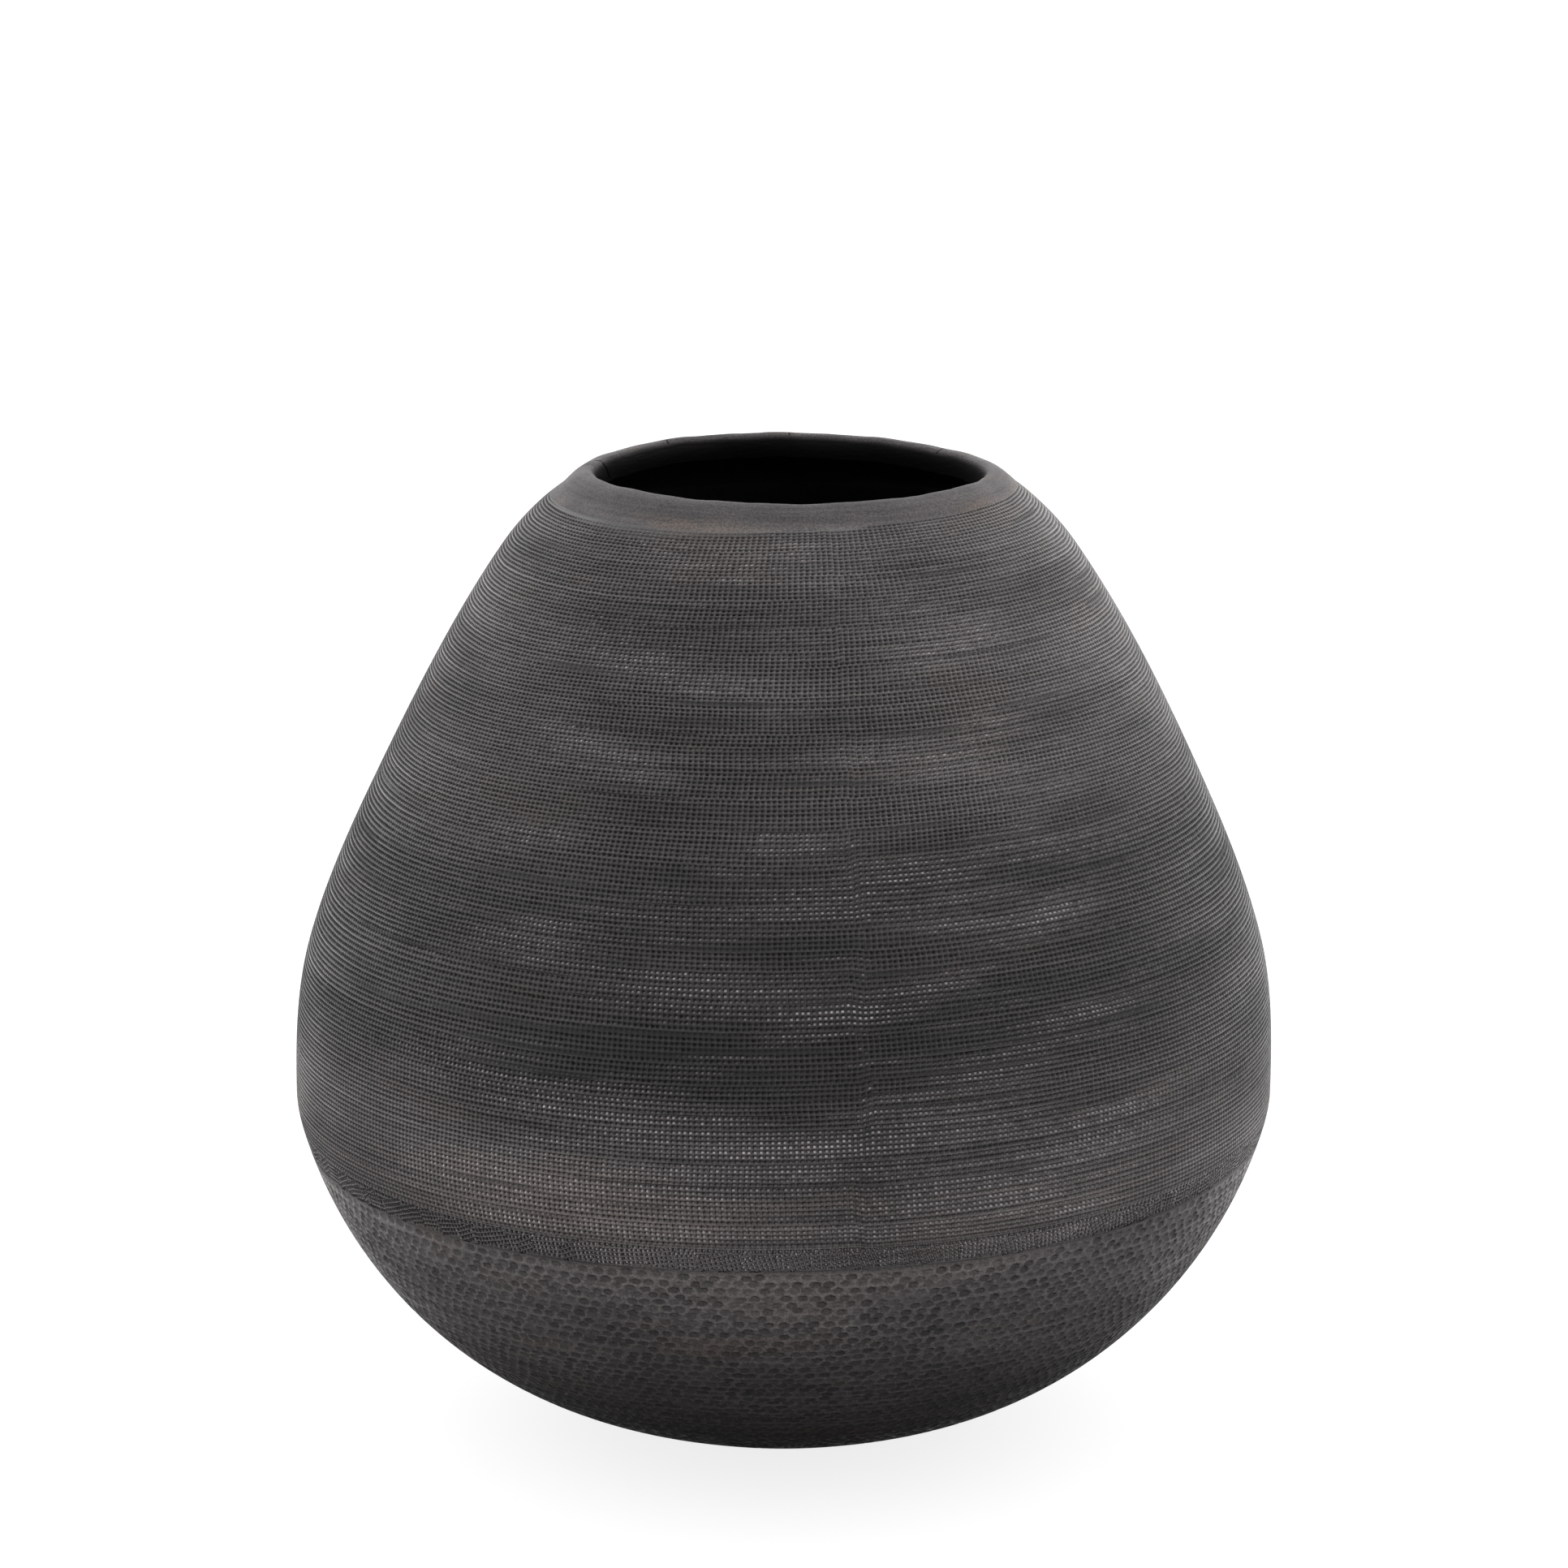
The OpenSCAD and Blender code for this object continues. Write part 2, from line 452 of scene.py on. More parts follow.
ROW_PITCHES = {"bowl": 1.52, "turn": 1.60, "flank": 1.50, "shoulder": 1.36}  # from one row to the next
STRIP_ROWS = (3, 9)  # a strip has at least the first number of rows, and fewer than the second
LEAST_STRIP = 2.0  # a shorter rest gets no strip of its own
STRIP_PITCH, STRIP_TEETH = (0.96, 1.04), (0.985, 1.015)  # how much strips differ, as shares
STRIP_LEAN = (-0.07, 0.07)  # how far each row is turned from the one below, in teeth
STRIP_GAP = 0.06  # left between the last ring of a strip and the first of the next
STRIP_WAVE, STRIP_WAVES, STRIP_TONE = 0.15, (1, 6), (-0.12, 0.12)  # how light strips are, in tone steps
ROW_WAVE, ROW_WAVES, ROW_TONE = 0.2, (1, 16), (-0.2, 0.2)  # how light single rows are

# How deep rows are pressed, as shares of PIT_DEPTH
PRESS_MEAN, PRESS_PATCHY, PRESS_WAVY, PRESS_WAVES = 0.95, 0.06, 0.07, (2, 40)
RUBBED_AT, RUBBED_LOSS = (1.0, 1.8), 0.6  # where FAINT is this high, rows lose this share of their depth
FIRM = 1.1  # a row pressed to the inverse of this has its full contrast
RUBBED_DARK = 0.80  # how dark rubbed-out rows stay
LEFT_SIDE, FAINT_LEFT = (0.70, 0.96), 0.32  # round at the left the teeth are this much shallower
GROOVE_AT, GROOVE_DEPTH = (0.6, 1.5), 0.5  # where GROOVE is this high, a strip ends in a groove

# How bright the painted highlights on the dots are
HIGHLIGHT_MEAN, HIGHLIGHT_PATCHY, HIGHLIGHT_WAVY, HIGHLIGHT_WAVES = 0.11, 0.38, 0.18, (2, 20)
HIGHLIGHT_FRONT = (0.92, 0.5)  # the painted highlights go out towards the left and right sides
ROW_HIGHLIGHT, FIRST_ROW_HIGHLIGHT = (0.65, 1.2), 0.4  # how much rows differ in it, and the lowest of a strip
# Patches where the dots get more painted highlight: azimuth, height, half width in degrees, half height, and
# how much
HIGHLIGHT_PATCHES = (
    (-4, 124, 62, 24, 0.76),
    (4, 200, 27, 15, 0.45),
    (-22, 120, 16, 13, 0.35),
    (-30, 284, 17, 16, 0.45),
    (-13, 299, 21, 7, 0.50),
    (24, 288, 15, 12, 0.45),
    (36, 232, 12, 30, 0.25),
    (-10, 236, 50, 24, -0.22),
)

# At the seam the ends of rows stray, and are fainter, lighter, and with brighter painted highlights on the
# dots
SEAM_RAGGED = 0.006  # as an angle
SEAM_PRESS, SEAM_HIGHLIGHT, SEAM_TONE = (0.3, 0.9), (0, 0.8), (0, 1.2)
SEAM_PLAIN = 0.25  # the share of this that is left on the upper flank
SEAM_CHANGE = (S["flank"] + 10, S["flank"] - 15)

# How far below the lip the rows take to reach their full depth: everywhere, round single azimuths with
# their half widths, and at the back
FADE_LEAST, FADE_BACK, BACK_POWER = 0.9, 1.5, 8
FADES = ((-38, 27, 6.0), (10, 5, 2.6))
LIP_EDGE_SHADE = 1.7  # steps of painted shade where the rows fade out under the lip, at the left and right sides

HIGHLIGHT_FIELD = Field(11, (14, 50), 0.35)  # where the dots get painted highlights
PRESS = Field(12, (5, 26), 0.25)  # where the wheel was pressed hard
FAINT = Field(14, (3, 8), 0.05)  # where a row is nearly rubbed out
GROOVE = Field(13, (4, 30), 0.1)  # where the edge of the wheel cut in


def lip_fade(angle):
    """How far below the lip the rows take to reach their full depth."""
    total = FADE_LEAST
    for azimuth, half, more in FADES:
        total = total + more * bell(off_azimuth(angle, azimuth), 0, half)
    return total + FADE_BACK * np.sin(angle / 2) ** BACK_POWER


def row_pitch(s):
    """Rows are closer together towards the mouth."""
    return np.interp(s, [S[ring] for ring in ROW_PITCHES], list(ROW_PITCHES.values()))


def strips(rng, low, high):
    """Cuts the stretch from low to high into strips, each as its start, rows and pitch."""
    found, s = [], low
    while s < high - LEAST_STRIP:
        rows, pitch = int(rng.integers(*STRIP_ROWS)), row_pitch(s) * rng.uniform(*STRIP_PITCH)
        found.append((s, rows, pitch))
        s += rows * pitch
    scale = (high - low) / (s - low)
    return [(low + (start - low) * scale, rows, pitch * scale) for start, rows, pitch in found]


def seam_away(rng, base, middle):
    """1 for a row away from the seam, less at it."""
    near = bell(from_seam(base, middle) + rng.uniform(-1, 1) * SEAM_RAGGED, 0, SEAM_W)
    return 1 - near * (SEAM_PLAIN + (1 - SEAM_PLAIN) * smooth(middle, *SEAM_CHANGE))


def row_press(rng, base, middle, away, fade):
    """How deep a row is pressed at each of its points."""
    press = PRESS_MEAN + PRESS_PATCHY * PRESS.at(base, middle) + PRESS_WAVY * wave(rng, base, PRESS_WAVES)
    press *= 1 - RUBBED_LOSS * smooth(FAINT.at(base, middle), *RUBBED_AT)
    press *= (rng.uniform(*SEAM_PRESS) * (1 - away) + away) * fade
    return press * (1 - FAINT_LEFT * smooth(-np.sin(base), *LEFT_SIDE))


def row_highlight(rng, base, middle, away):
    """How bright the painted highlights on the dots of a row are at each of its points."""
    highlight = HIGHLIGHT_MEAN + HIGHLIGHT_PATCHY * HIGHLIGHT_FIELD.at(base, middle) + HIGHLIGHT_WAVY * wave(rng, base, HIGHLIGHT_WAVES)
    highlight = highlight + patched(HIGHLIGHT_PATCHES, base, OUTLINE.at(middle)[1]) + rng.uniform(*SEAM_HIGHLIGHT) * (1 - away)
    return np.clip(highlight, 0, 1) * smooth(np.abs(np.sin(base)), *HIGHLIGHT_FRONT) * rng.uniform(*ROW_HIGHLIGHT)


def pressed_strip(rng, start, rows, pitch, grooved):
    """The rings of one strip of rows, which one pass of the wheel made, closed by a groove in places."""
    around = TURN * float(OUTLINE.at(start + rows * pitch / 2)[0])
    teeth = round(around / PIT_PITCH * rng.uniform(*STRIP_TEETH))
    step = TURN / teeth
    base = (np.repeat(np.arange(teeth), GRID) + np.tile(GRID_ROUND, teeth)) * step
    phase = rng.uniform(0, 1)
    lean = rng.uniform(*STRIP_LEAN)
    strip_tone = STRIP_WAVE * wave(rng, base, STRIP_WAVES) + rng.uniform(*STRIP_TONE)
    found = []
    for row in range(rows):
        middle = start + (row + 0.5) * pitch
        away = seam_away(rng, base, middle)
        fade = smooth(S["lip_foot"] - middle, 0.0, lip_fade(base))
        press = row_press(rng, base, middle, away, fade)
        firm = np.clip(press * FIRM, 0, 1)
        highlight = row_highlight(rng, base, middle, away) * (1.0 if row else FIRST_ROW_HIGHLIGHT)
        tooth_press = np.repeat(rng.normal(1.0, TOOTH_UNEVEN, teeth), GRID)
        tooth_off, tooth_up = np.repeat(rng.normal(0, TOOTH_SHIFT, (2, teeth)), GRID, 1)
        tooth_highlight = np.repeat(rng.uniform(*TOOTH_HIGHLIGHT, teeth), GRID)
        tooth_shade = np.repeat(rng.uniform(*TOOTH_SHADE_SPREAD, teeth), GRID)
        tone = strip_tone + ROW_WAVE * wave(rng, base, ROW_WAVES) + rng.uniform(*ROW_TONE)
        # painted shade where the rows fade out under the lip, at the left and right sides
        tone = tone + rng.uniform(*SEAM_TONE) * (1 - away) - LIP_EDGE_SHADE * (1 - fade) * np.sin(base) ** 2
        for level in range(GRID):
            up = row + GRID_UP[level]
            depth = PIT_DEPTH * np.tile(TOOTH[level], teeth) * press * tooth_press
            # painted shade in the pits, and the darkness that rubbed-out rows keep
            dark = np.tile(TOOTH_SHADE[level], teeth) * firm * tooth_shade + RUBBED_DARK * (1 - firm) * fade
            dot = np.zeros(len(base))
            # each dot is painted with a highlight
            if level == DOT_LEVEL:
                dot[DOT_COLUMN::GRID] = 1.0
                dot *= highlight * tooth_highlight * np.clip(press, 0, 1)
            angle = base + (phase + lean * up) * step + tooth_off / RINGS["turn"][0]
            s = start + up * pitch + tooth_up * (level in PIT_LEVELS)
            diagonals = level + 1  # they meet at the dot
            found.append(Ring(angle, place(angle, s, depth), dark, dot, tone, level=diagonals))
    angle, s = base + (phase + lean * rows) * step, start + rows * pitch - STRIP_GAP
    # the groove is painted dark as shade, as much as it is cut in
    cut = smooth(GROOVE.at(base, s), *GROOVE_AT) * grooved
    found.append(Ring(angle, place(angle, s, GROOVE_DEPTH * cut), cut, 0.0, strip_tone))
    return found


JOINT_COUNT, JOINT_DARK = 1800, 0.1


def joint_ring(name):
    angle = angles(JOINT_COUNT)
    return Ring(angle, place(angle, np.full(JOINT_COUNT, S[name]), 0.0), pit=JOINT_DARK, corner=True)


def course_outside(rng, low, high):
    """Every ring of the outside of a course between two joints, strip by strip."""
    found = []
    cuts = strips(rng, low, high)
    for k, strip in enumerate(cuts):
        found += pressed_strip(rng, *strip, grooved=k < len(cuts) - 1)
    return found


# -------- the inside of the wall

INSIDE_COUNT = 288
INSIDE_STEP = 5.0
# Faint lines from the fingers: depth, how many radians they turn to a millimetre, and phase
FINGER_LINES = ((0.35, 1.1, 0), (0.25, 0.43, 1))
FINGER_MEAN, FINGER_SWING, FINGER_TWIST = 0.6, 0.4, 20  # how they come and go round the pot
LEDGE = 1.2  # how far a joint's edge runs straight in, past the tooled pits, before its bevel begins


def inside_ring(s, corner=False):
    """A ring of the inside face, with faint lines from the fingers."""
    angle = angles(INSIDE_COUNT)
    lines = sum(deep * math.sin(s * often + phase) for deep, often, phase in FINGER_LINES)
    depth = WALL_T + lines * (FINGER_MEAN + FINGER_SWING * np.sin(angle + s / FINGER_TWIST))
    return Ring(angle, place(angle, np.full(INSIDE_COUNT, s), depth), corner=corner, inner=True)


def ledge_ring(name):
    """The ring of a joint where its straight edge ends and its bevel begins."""
    angle = angles(INSIDE_COUNT)
    return Ring(angle, place(angle, np.full(INSIDE_COUNT, S[name]), LEDGE), inner=True)


def inside(low, high):
    """Rings of the inside face from the upper joint down to the lower one, with each ledge and bevel."""
    runs = S[high] - LAP, S[low] - LAP
    runs = np.linspace(*runs, max(3, round((runs[0] - runs[1]) / INSIDE_STEP) + 1))
    rings = [inside_ring(s, corner=s in (runs[0], runs[-1])) for s in runs]
    return [ledge_ring(high)] + rings + [ledge_ring(low)]


# -------- the border of slanted strokes

BORDER_H = 8.4
BORDER_TOP = S["bowl"] + BORDER_H
BORDER_CELL = 0.24
# the depth, the painted shade and the tone of the border's pits
BORDER_DEPTH, BORDER_SHADE, BORDER_TONE = 0.7, 1.2, -0.4
BORDER_EDGE = (S["bowl"] + 0.2, S["bowl"] + 1.2)  # the last pressed rows end between these
LAST_ROW_PHASE, LAST_ROW_HIGHLIGHT = 0.3, 0.5
STROKE_COUNT = 150
STROKE_LENGTH, STROKE_ROWS, STROKE_PITCH = 10.5, 4, 1.42
STROKE_MIDDLE = S["bowl"] + 3.5
STROKE_SLANT = math.radians(16)
# How much strokes differ: place in strokes, height, slant, length, depth and painted highlight as shares
STROKE_OFF, STROKE_UP, STROKE_TURN = (-0.3, 0.3), (-0.7, 1.1), (-0.1, 1.7)
STROKE_LONG, STROKE_PRESS, STROKE_HIGHLIGHT = (0.85, 1.1), (0.85, 1.1), (0.7, 1.5)
BORDER_EDGE_SHADE, EDGE_W = 0.5, 1.0  # painted shade along the pattern's lower edge, and its half width

# The border's pits, as shares of half the pitch: their wall from its top to the floor, the dot from its foot
# to its middle, where its painted highlight is brightest, and how far the dot is to the lower right
NET_WALL, NET_DOT, NET_DOT_OFF = (0.82, 0.52), (0.50, 0.14), 0.12
NET_DOT_H = 0.3  # how far the dot rises, as a share of the depth


def net(u, v):
    """Depth, painted shade and dot of a net of pits, where u and v count pits along and across it."""
    off_u, off_v = (u % 1 - 0.5) * 2, (v % 1 - 0.5) * 2
    hollow = smooth(np.maximum(abs(off_u), abs(off_v)), *NET_WALL)
    dot = smooth(np.hypot(off_u - NET_DOT_OFF, off_v + NET_DOT_OFF), *NET_DOT)
    return hollow * (1 - NET_DOT_H * dot), hollow * (1 - dot), dot


# painted shade along the pattern's lower edge
def edge_shade(s):
    return BORDER_EDGE_SHADE * bell(s, S["bowl"], EDGE_W)


def border_marks(rng, angle, s):
    """The last pressed rows, and over them the overlapping slanted strokes that end the pattern."""
    middle_r = RINGS["bowl"][0]
    teeth = round(TURN * middle_r / PIT_PITCH)
    depth, dark, dot = net(angle * teeth / TURN, (s - BORDER_TOP) / row_pitch(S["bowl"]) + LAST_ROW_PHASE)
    edge = smooth(s, *BORDER_EDGE)
    depth, dark, dot = depth * edge, dark * edge, dot * edge * LAST_ROW_HIGHLIGHT
    for k in range(STROKE_COUNT):
        centre = (k + rng.uniform(*STROKE_OFF)) / STROKE_COUNT * TURN
        centre_s = STROKE_MIDDLE + rng.uniform(*STROKE_UP)
        slant = STROKE_SLANT * rng.uniform(*STROKE_TURN)
        half, band = STROKE_LENGTH / 2 * rng.uniform(*STROKE_LONG), STROKE_ROWS * STROKE_PITCH / 2
        near = abs((angle[0] - centre + math.pi) % TURN - math.pi) * middle_r < half + 1
        x = ((angle[:, near] - centre + math.pi) % TURN - math.pi) * middle_r
        y = s[:, near] - centre_s
        along = x * math.cos(slant) + y * math.sin(slant)
        over = y * math.cos(slant) - x * math.sin(slant)
        marks = net(along / STROKE_PITCH + rng.uniform(0, 1), over / STROKE_PITCH)
        press, highlight = rng.uniform(*STROKE_PRESS), rng.uniform(*STROKE_HIGHLIGHT)
        under = (abs(along) < half) & (abs(over) < band)
        for field, mark, size in zip((depth, dark, dot), marks, (press, press, highlight)):
            field[:, near] = np.where(under, mark * size, field[:, near])
    dark = np.maximum(dark, edge_shade(s))
    return depth * BORDER_DEPTH, np.clip(dark * BORDER_SHADE, 0, 1), dot


def grid_rings(low, high, cell, count, marks, tone=0.0):
    """Rings at even spacing whose depth, painted shade and dots come from one function of place."""
    levels = max(2, round((high - low) / cell))
    s = np.repeat(np.linspace(low, high, levels + 1)[:, None], count, 1)
    angle = np.repeat(angles(count)[None, :], levels + 1, 0)
    depth, dark, dot = marks(angle, s)
    points = place(angle, s, depth)
    return [Ring(angle[k], points[k], dark[k], dot[k], tone, level=k) for k in range(levels + 1)]


def border_rings(rng):
    count = round(TURN * RINGS["bowl"][0] / BORDER_CELL)
    marks = functools.partial(border_marks, rng)
    return grid_rings(S["bowl"], BORDER_TOP, BORDER_CELL, count, marks, BORDER_TONE)


# -------- the dimpled bowl

DIMPLE_W, DIMPLE_H = 3.6, 2.55
DIMPLE_PITCH, DIMPLE_ROW = 4.6, 2.85
DIMPLE_DEPTH = 0.38
DIMPLE_TOP, DIMPLE_END = 2.4, 8  # from the bowl's top edge to the first row, and from the flat to the last
ROWS_ALIKE = 7  # rows that share one count, so that they stagger
# How much dimples differ: each row's turn in dimples and its drop, and each one's place, size and depth
ROW_TURN, ROW_DROP = (0.35, 0.65), (0.85, 1.05)
DIMPLE_OFF, DIMPLE_UP, DIMPLE_WAVE, DIMPLE_WAVES = 0.06, 0.18, 0.3, (2, 30)
DIMPLE_SIZE, DIMPLE_PRESS = (0.88, 1.12), (0.5, 1.1)
DIMPLE_POWER = 2.2  # 2 is an oval, more is squarer
DIMPLE_WALL = (1.08, 0.88)  # from its top edge to its floor, as shares of the half size
FLOOR_MEAN, FLOOR_RIGHT, FLOOR_UP = 0.72, 0.14, 0.24  # its floor runs deeper to the upper right
SHADE_FLOOR, SHADE_LEAN, SHADE_EDGE = 0.6, 0.4, (0.5, 1.0)  # and its painted shade is darkest at the upper right edge, under the rim
DIMPLE_REACH = 4  # no dimple reaches further than this from its row
DIMPLE_CELL, COARSE = 0.40, 1.4  # the mesh's spacing, and how much wider it is near the foot
FINE_FROM = S["pad"] + 30
STRETCH = 14  # rings of one stretch share a count


def dimple_rows(rng):
    """Rows of dimples from under the border down to the foot, each with its places and sizes."""
    found, s, k, turned = [], S["bowl"] - DIMPLE_TOP, 0, 0.0
    while s > S["rest"] + DIMPLE_END:
        if k % ROWS_ALIKE == 0:
            count = round(TURN * float(OUTLINE.at(s)[0]) / DIMPLE_PITCH)
        turned = (turned + rng.uniform(*ROW_TURN)) % 1.0
        centres = (np.arange(count) + turned + rng.normal(0, DIMPLE_OFF, count)) / count * TURN
        heights = s + rng.normal(0, DIMPLE_UP, count) + DIMPLE_WAVE * wave(rng, centres, DIMPLE_WAVES)
        sizes = rng.uniform(*DIMPLE_SIZE, (2, count))
        found.append((s, count, turned, centres, heights, sizes, rng.uniform(*DIMPLE_PRESS, count)))
        s -= DIMPLE_ROW * rng.uniform(*ROW_DROP)
        k += 1
    return found


def dimple_marks(rows, angle, s):
    """Depth and painted shade of the dimples, with no dots."""
    depth, dark = np.zeros(s.shape), np.zeros(s.shape)
    for row_s, count, shift, centres, heights, sizes, presses in rows:
        near = np.abs(s[:, 0] - row_s) < DIMPLE_REACH
        if not near.any():
            continue
        a, h = angle[near], s[near]
        k = np.round(a / TURN * count - shift).astype(int) % count
        x = (a - centres[k] + math.pi) % TURN - math.pi
        x = x * OUTLINE.at(row_s)[0] / (DIMPLE_W / 2 * sizes[0][k])
        y = (h - heights[k]) / (DIMPLE_H / 2 * sizes[1][k])
        edge = (abs(x) ** DIMPLE_POWER + abs(y) ** DIMPLE_POWER) ** (1 / DIMPLE_POWER)
        floor = smooth(edge, *DIMPLE_WALL)
        slope = FLOOR_MEAN + FLOOR_RIGHT * x + FLOOR_UP * y
        # painted shade in the dimple, darkest under its upper right rim
        shade = SHADE_FLOOR + (1 - SHADE_FLOOR) * smooth(y + SHADE_LEAN * x, *SHADE_EDGE)
        depth[near] = np.maximum(depth[near], DIMPLE_DEPTH * floor * slope * presses[k])
        dark[near] = np.maximum(dark[near], floor * shade * presses[k])
    dark = np.maximum(dark, edge_shade(s))
    return depth, np.clip(dark, 0, 1), np.zeros(s.shape)


def dimpled_rings(rows, low, high):
    """Dimpled rings in steps, with fewer points to a ring as the bowl narrows."""
    found = []
    edges = np.linspace(low, high, max(1, round((high - low) / STRETCH)) + 1)
    marks = functools.partial(dimple_marks, rows)
    for a, b in zip(edges, edges[1:]):
        cell = DIMPLE_CELL if b > FINE_FROM else DIMPLE_CELL * COARSE
        count = round(TURN * float(OUTLINE.at((a + b) / 2)[0]) / cell)
        found += grid_rings(a, b, cell, count, marks)[: None if b == high else -1]
    return found


# -------- materials


class Nodes:
    """A material's node tree, with one short call for each kind of node."""

    def __init__(self, name):
        self.material = bpy.data.materials.new(name)
        self.material.use_nodes = True
        self.tree = self.material.node_tree
        self.shader = self.tree.nodes["Principled BSDF"]
        self.place = self.tree.nodes.new("ShaderNodeTexCoord").outputs["Object"]

    def link(self, a, b):
        self.tree.links.new(a, b)

    def put(self, value, socket):
        if isinstance(value, bpy.types.NodeSocket):
            self.link(value, socket)
        else:
            socket.default_value = value

    def mark(self, name):
        node = self.tree.nodes.new("ShaderNodeAttribute")
        node.attribute_name = name
        return node.outputs["Fac"]

    def stretched(self, scale, turn=(0, 0, 0)):
        node = self.tree.nodes.new("ShaderNodeMapping")
        node.inputs["Scale"].default_value = scale
        node.inputs["Rotation"].default_value = turn
        self.link(self.place, node.inputs["Vector"])
        return node.outputs["Vector"]

    def noise(self, vector, scale=1.0, detail=3.0, roughness=0.5):
        node = self.tree.nodes.new("ShaderNodeTexNoise")
        node.inputs["Scale"].default_value = scale
        node.inputs["Detail"].default_value = detail
        node.inputs["Roughness"].default_value = roughness
        self.link(vector, node.inputs["Vector"])
        return node.outputs["Fac"]

    def remap(self, value, low, high, to_low=0.0, to_high=1.0):
        node = self.tree.nodes.new("ShaderNodeMapRange")
        node.interpolation_type = "SMOOTHSTEP"
        values = {"Value": value, "From Min": low, "From Max": high, "To Min": to_low, "To Max": to_high}
        for name, v in values.items():
            self.put(v, node.inputs[name])
        return node.outputs["Result"]

    def math(self, operation, a, b=0.0, c=0.0):
        node = self.tree.nodes.new("ShaderNodeMath")
        node.operation = operation
        for k, v in enumerate((a, b, c)):
            self.put(v, node.inputs[k])
        return node.outputs[0]

    def mix(self, factor, a, b, blend="MIX"):
        node = self.tree.nodes.new("ShaderNodeMix")
        node.data_type, node.blend_type = "RGBA", blend
        self.put(factor, node.inputs["Factor"])
        self.put(a, node.inputs["A"])
        self.put(b, node.inputs["B"])
        return node.outputs["Result"]

    def bump(self, height, distance, strength=1.0, over=None):
        node = self.tree.nodes.new("ShaderNodeBump")
        node.inputs["Strength"].default_value = strength
        node.inputs["Distance"].default_value = distance
        self.link(height, node.inputs["Height"])
        if over is not None:
            self.link(over, node.inputs["Normal"])
        return node.outputs["Normal"]


GREEN = 0.95  # a grey's green against its red and blue
TONE_STEP = 1.3  # how much lighter one step of tone is
ROW_SLOPE = math.radians(0.86)  # streaks follow the rows, which climb to the right

# Noise features to a metre along X, Y and Z
CLOUDS, BANDS, STREAKS, BROWNS = (15, 15, 42), (3, 3, 110), (12, 12, 800), (17, 17, 60)
SOOT = (20, 20, 60)
GRAIN, COARSE_GRAIN = 1500, 900
NOISE = (0.3, 0.7)  # most values of a noise lie between these
# How far clouds and bands make the clay lighter or darker; the whole scale runs to 1.2 each way
CLOUD_LEVEL, BAND_LEVEL, FULL_LEVEL = 0.36, 0.15, 1.2
LIGHT_WARMTH = 0.05
BROWN_NOISE, BROWN_TONE, BROWN_SHARE = (0.52, 0.72), (0.9, 3.0), 0.6  # the lighter patches are browner
GRAIN_NOISE, GRAIN_SHARE, GRAIN_DARK = (0.35, 0.65), 0.55, 0.3
# the grey that painted shade and the faint dark joints darken to, and the grey and warmth of the dots'
# painted highlights
SHADE_GREY, HIGHLIGHT_GREY, HIGHLIGHT_WARMTH = 0.004, 0.62, 0.03
HIGHLIGHT_LEVELS, HIGHLIGHT_DULL = 0.8, 0.6  # painted highlights on the dots are dimmer where the clay is dark
GLOSS_SWING, DOT_GLOSS, PIT_ROUGH = 0.06, 0.12, 0.4  # how roughness varies with clouds, dots and pits
SOOT_DARK, SOOT_LIGHT, SOOT_WARMTH, SOOT_ROUGH, SOOT_SHINY = 0.010, 0.020, 0.03, (0.85, 1.0), 0.03
GRAIN_BUMP, STREAK_BUMP, SOOT_BUMP = (0.00012, 0.6), (0.0002, 0.5), (0.0003, 0.7)  # metres and strength


def grey(value, warmth=0.0):
    """A violet grey; warmth moves it towards brown."""
    return (value * (1 + warmth), value * GREEN, value * (1 - warmth), 1.0)


def toned(n, colour):
    """The colour made lighter or darker by the tone mark: smoke clouds and random tone, with painted shade at
    the foot, in the mouth and under the lip's edge, and painted light on the bowl.
    """
    return n.mix(1.0, colour, n.math("POWER", TONE_STEP, n.mark("tone")), "MULTIPLY")


